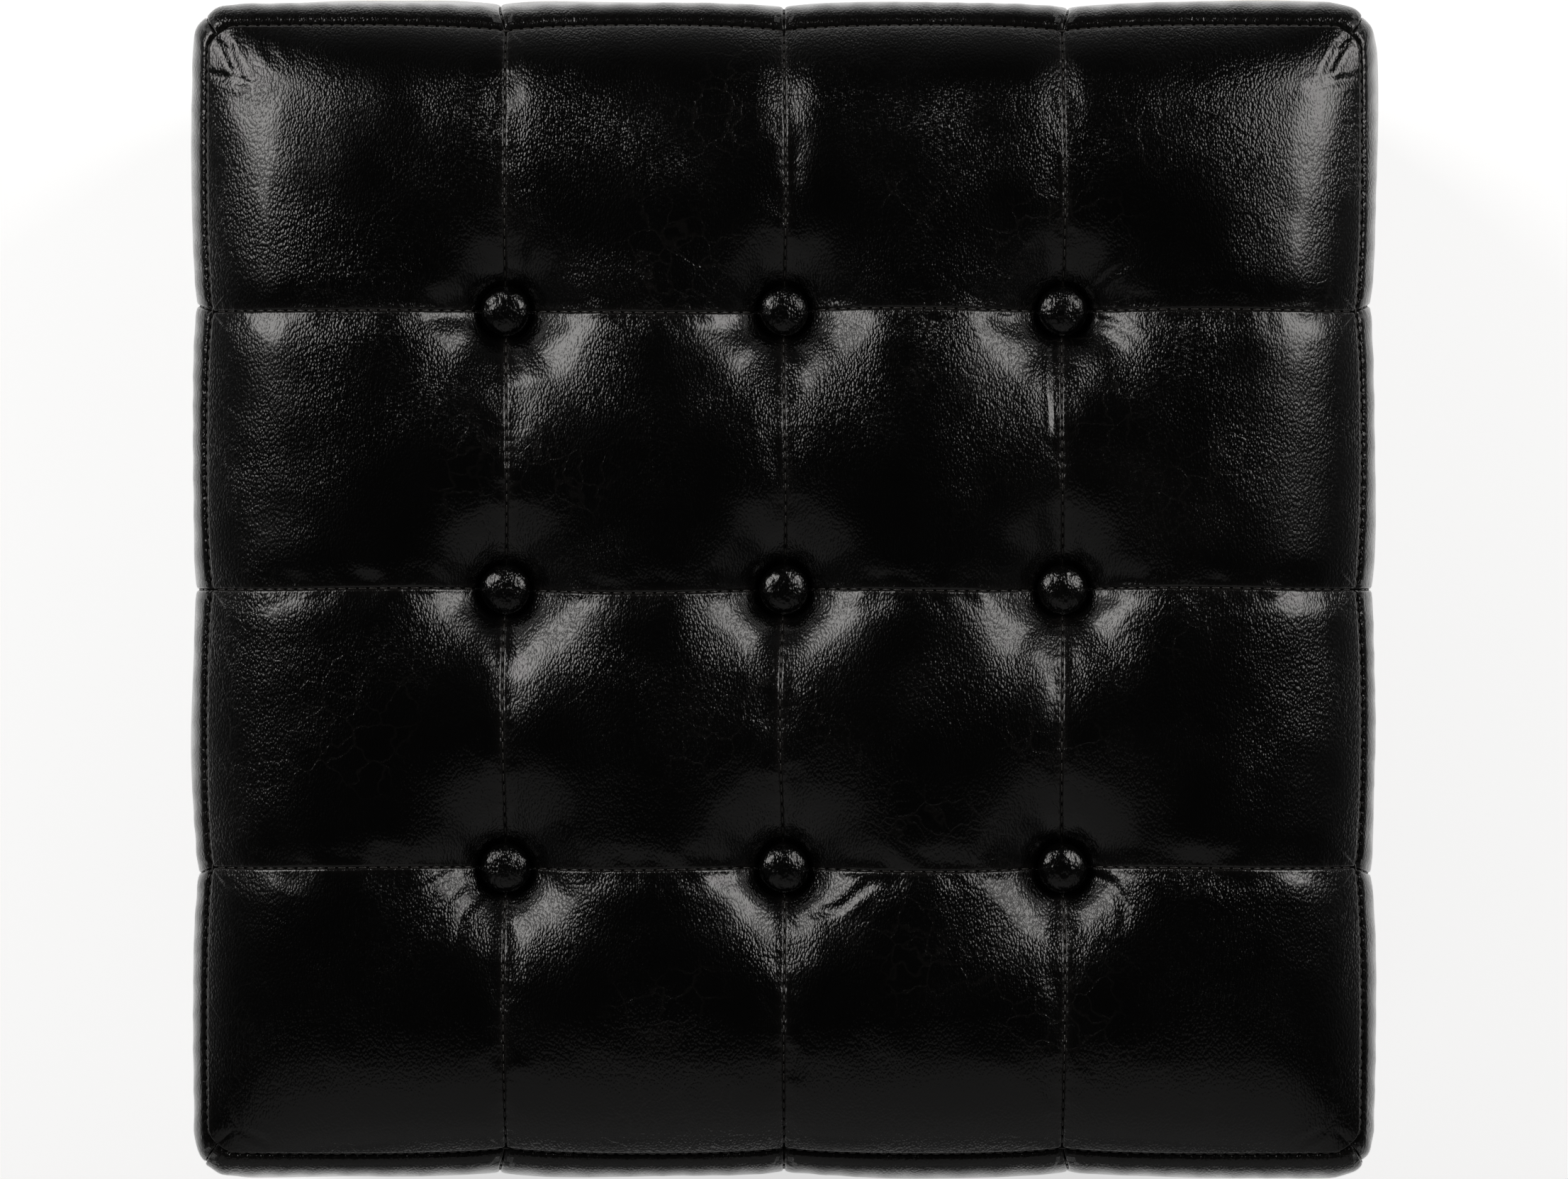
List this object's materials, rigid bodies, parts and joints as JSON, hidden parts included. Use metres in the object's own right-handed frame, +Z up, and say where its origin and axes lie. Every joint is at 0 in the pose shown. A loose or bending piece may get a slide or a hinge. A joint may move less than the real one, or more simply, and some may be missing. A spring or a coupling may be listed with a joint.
{
  "type": "leather pouf",
  "caption": "Square button-tufted leather pouf: panelled top and sides sewn over wadding, foam and a stuffed inner bag, closed by a zip in the base.",
  "frame": {"origin": "middle of the base, on the floor that the pouf stands on", "axes": "+Z up, +X towards the right side panels, +Y towards the back panels; the zip runs along X"},
  "size_m": [0.451, 0.451, 0.3494],
  "materials": {
    "top_leather": "black goat leather, pebbled grain, glossy glazed finish",
    "side_leather": "black goat leather, pebbled grain, glossy glazed finish",
    "base_leather": "black goat leather, plain satin finish",
    "button_leather": "black goat leather stretched over a dome, glossy",
    "zip_tape": "black woven polyester tape",
    "zip_chain": "black moulded teeth, semi-gloss",
    "zip_metal": "nickel-plated zinc, lightly worn",
    "button_metal": "pressed tinned steel",
    "twine": "waxed natural tufting twine",
    "toggle_wood": "turned beech, unfinished",
    "wadding": "needled cotton wadding, matt",
    "foam": "upholstery foam, open cells, matt",
    "canvas": "unbleached calico, plain weave, matt",
    "stuffing": "loose fibre stuffing, matt"
  },
  "bodies": {
    "pouf": {"top_panel_r1c1": "top_leather", "top_panel_r1c2": "top_leather", "top_panel_r1c3": "top_leather", "top_panel_r1c4": "top_leather", "top_panel_r2c1": "top_leather", "top_panel_r2c2": "top_leather", "top_panel_r2c3": "top_leather", "top_panel_r2c4": "top_leather", "top_panel_r3c1": "top_leather", "top_panel_r3c2": "top_leather", "top_panel_r3c3": "top_leather", "top_panel_r3c4": "top_leather", "top_panel_r4c1": "top_leather", "top_panel_r4c2": "top_leather", "top_panel_r4c3": "top_leather", "top_panel_r4c4": "top_leather", "front_panel_1": "side_leather", "front_panel_2": "side_leather", "front_panel_3": "side_leather", "front_panel_4": "side_leather", "right_panel_1": "side_leather", "right_panel_2": "side_leather", "right_panel_3": "side_leather", "right_panel_4": "side_leather", "back_panel_1": "side_leather", "back_panel_2": "side_leather", "back_panel_3": "side_leather", "back_panel_4": "side_leather", "left_panel_1": "side_leather", "left_panel_2": "side_leather", "left_panel_3": "side_leather", "left_panel_4": "side_leather", "base_panel_front": "base_leather", "base_panel_back": "base_leather", "zip_facing": "base_leather", "button_cap_r1c1": "button_leather", "button_cap_r1c2": "button_leather", "button_cap_r1c3": "button_leather", "button_cap_r2c1": "button_leather", "button_cap_r2c2": "button_leather", "button_cap_r2c3": "button_leather", "button_cap_r3c1": "button_leather", "button_cap_r3c2": "button_leather", "button_cap_r3c3": "button_leather", "zip_tapes": "zip_tape", "zip_teeth": "zip_chain", "zip_stops": "zip_metal", "button_shells": "button_metal", "button_backs": "button_metal", "tufting_twine": "twine", "tufting_toggles": "toggle_wood", "wadding_topper": "wadding", "foam_slab": "foam", "deck_cloth": "canvas", "side_padding": "foam", "base_padding": "foam", "filling_bag": "canvas", "stuffing": "stuffing"},
    "slider": {"zip_slider": "zip_metal"},
    "pull": {"zip_pull": "zip_metal"}
  },
  "joints": [
    {"name": "zip_slide", "type": "slide", "parent": "pouf", "child": "slider", "axis": [-1, 0, 0], "range_m": [0, 0.285], "deforming": ["zip_teeth"]},
    {"name": "pull_hinge", "type": "hinge", "parent": "slider", "child": "pull", "pos_m": [0.151, 0, 0.00635], "axis": [0, -1, 0], "range_deg": [0, 150]}
  ]
}
